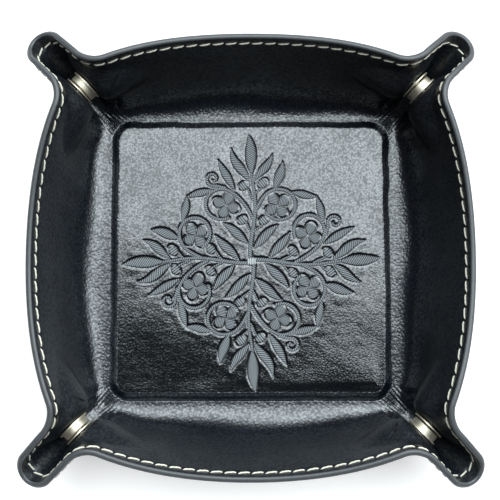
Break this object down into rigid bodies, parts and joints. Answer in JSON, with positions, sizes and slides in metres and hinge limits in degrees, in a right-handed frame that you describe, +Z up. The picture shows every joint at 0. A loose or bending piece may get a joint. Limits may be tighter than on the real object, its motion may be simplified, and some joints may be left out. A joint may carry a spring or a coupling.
{
  "type": "valet tray",
  "caption": "Soft leather valet tray: a square stitched sheet with a stiff base, its corners pinched into ears by snap fasteners so that the walls stand and can be opened flat.",
  "frame": {"origin": "centre of the base's underside, on the surface that the tray stands on", "axes": "+Z up, +Y toward the north wall, +X toward the east wall; the walls lie square to X and Y and the ears on the diagonals"},
  "size_m": [0.162, 0.162, 0.0423],
  "materials": {
    "lining": "semi-gloss smooth black leather with fine grain",
    "shell": "satin black leather",
    "board": "plain grey fibreboard",
    "snap": "pale gold plated, polished",
    "spring": "bright wire"
  },
  "bodies": {
    "base": {"base_inner": "lining", "base_outer": "shell", "base_board": "board"},
    "wall_north": {"wall_north_inner": "lining", "wall_north_outer": "shell"},
    "wall_west": {"wall_west_inner": "lining", "wall_west_outer": "shell"},
    "wall_south": {"wall_south_inner": "lining", "wall_south_outer": "shell"},
    "wall_east": {"wall_east_inner": "lining", "wall_east_outer": "shell"},
    "ear_ne_north": {"ear_ne_north_inner": "lining", "ear_ne_north_outer": "shell", "snap_ne_stud": "snap", "snap_ne_eyelet": "snap"},
    "ear_ne_east": {"ear_ne_east_inner": "lining", "ear_ne_east_outer": "shell", "snap_ne_socket": "snap", "snap_ne_cap": "snap", "snap_ne_spring": "spring"},
    "ear_nw_west": {"ear_nw_west_inner": "lining", "ear_nw_west_outer": "shell", "snap_nw_stud": "snap", "snap_nw_eyelet": "snap"},
    "ear_nw_north": {"ear_nw_north_inner": "lining", "ear_nw_north_outer": "shell", "snap_nw_socket": "snap", "snap_nw_cap": "snap", "snap_nw_spring": "spring"},
    "ear_sw_south": {"ear_sw_south_inner": "lining", "ear_sw_south_outer": "shell", "snap_sw_stud": "snap", "snap_sw_eyelet": "snap"},
    "ear_sw_west": {"ear_sw_west_inner": "lining", "ear_sw_west_outer": "shell", "snap_sw_socket": "snap", "snap_sw_cap": "snap", "snap_sw_spring": "spring"},
    "ear_se_east": {"ear_se_east_inner": "lining", "ear_se_east_outer": "shell", "snap_se_stud": "snap", "snap_se_eyelet": "snap"},
    "ear_se_south": {"ear_se_south_inner": "lining", "ear_se_south_outer": "shell", "snap_se_socket": "snap", "snap_se_cap": "snap", "snap_se_spring": "spring"}
  },
  "joints": [
    {"name": "wall_north_fold", "type": "hinge", "parent": "base", "child": "wall_north", "pos_m": [0, 0.062, 0.0017], "axis": [-1, 0, 0], "range_deg": [0, 50]},
    {"name": "wall_west_fold", "type": "hinge", "parent": "base", "child": "wall_west", "pos_m": [-0.062, 0, 0.0017], "axis": [0, -1, 0], "range_deg": [0, 50]},
    {"name": "wall_south_fold", "type": "hinge", "parent": "base", "child": "wall_south", "pos_m": [0, -0.062, 0.0017], "axis": [1, 0, 0], "range_deg": [0, 50]},
    {"name": "wall_east_fold", "type": "hinge", "parent": "base", "child": "wall_east", "pos_m": [0.062, 0, 0.0017], "axis": [0, 1, 0], "range_deg": [0, 50]},
    {"name": "ear_ne_north_fold", "type": "hinge", "parent": "wall_north", "child": "ear_ne_north", "pos_m": [0.05109, 0.05849, 0.003], "axis": [-0.1567, -0.063, -0.9856], "range_deg": [0, 25.31]},
    {"name": "ear_ne_east_fold", "type": "hinge", "parent": "wall_east", "child": "ear_ne_east", "pos_m": [0.05849, 0.05109, 0.003], "axis": [0.063, 0.1567, 0.9856], "range_deg": [0, 25.31]},
    {"name": "ear_nw_west_fold", "type": "hinge", "parent": "wall_west", "child": "ear_nw_west", "pos_m": [-0.05849, 0.05109, 0.003], "axis": [0.063, -0.1567, -0.9856], "range_deg": [0, 25.31]},
    {"name": "ear_nw_north_fold", "type": "hinge", "parent": "wall_north", "child": "ear_nw_north", "pos_m": [-0.05109, 0.05849, 0.003], "axis": [-0.1567, 0.063, 0.9856], "range_deg": [0, 25.31]},
    {"name": "ear_sw_south_fold", "type": "hinge", "parent": "wall_south", "child": "ear_sw_south", "pos_m": [-0.05109, -0.05849, 0.003], "axis": [0.1567, 0.063, -0.9856], "range_deg": [0, 25.31]},
    {"name": "ear_sw_west_fold", "type": "hinge", "parent": "wall_west", "child": "ear_sw_west", "pos_m": [-0.05849, -0.05109, 0.003], "axis": [-0.063, -0.1567, 0.9856], "range_deg": [0, 25.31]},
    {"name": "ear_se_east_fold", "type": "hinge", "parent": "wall_east", "child": "ear_se_east", "pos_m": [0.05849, -0.05109, 0.003], "axis": [-0.063, 0.1567, -0.9856], "range_deg": [0, 25.31]},
    {"name": "ear_se_south_fold", "type": "hinge", "parent": "wall_south", "child": "ear_se_south", "pos_m": [0.05109, -0.05849, 0.003], "axis": [0.1567, -0.063, 0.9856], "range_deg": [0, 25.31]}
  ],
  "couplings": [
    {"joint": "wall_west_fold", "follows": "wall_north_fold", "ratio": 1},
    {"joint": "wall_south_fold", "follows": "wall_north_fold", "ratio": 1},
    {"joint": "wall_east_fold", "follows": "wall_north_fold", "ratio": 1},
    {"joint": "ear_ne_north_fold", "follows": "wall_north_fold", "ratio": 0.5042},
    {"joint": "ear_ne_east_fold", "follows": "wall_north_fold", "ratio": 0.5042},
    {"joint": "ear_nw_west_fold", "follows": "wall_north_fold", "ratio": 0.5042},
    {"joint": "ear_nw_north_fold", "follows": "wall_north_fold", "ratio": 0.5042},
    {"joint": "ear_sw_south_fold", "follows": "wall_north_fold", "ratio": 0.5042},
    {"joint": "ear_sw_west_fold", "follows": "wall_north_fold", "ratio": 0.5042},
    {"joint": "ear_se_east_fold", "follows": "wall_north_fold", "ratio": 0.5042},
    {"joint": "ear_se_south_fold", "follows": "wall_north_fold", "ratio": 0.5042}
  ]
}
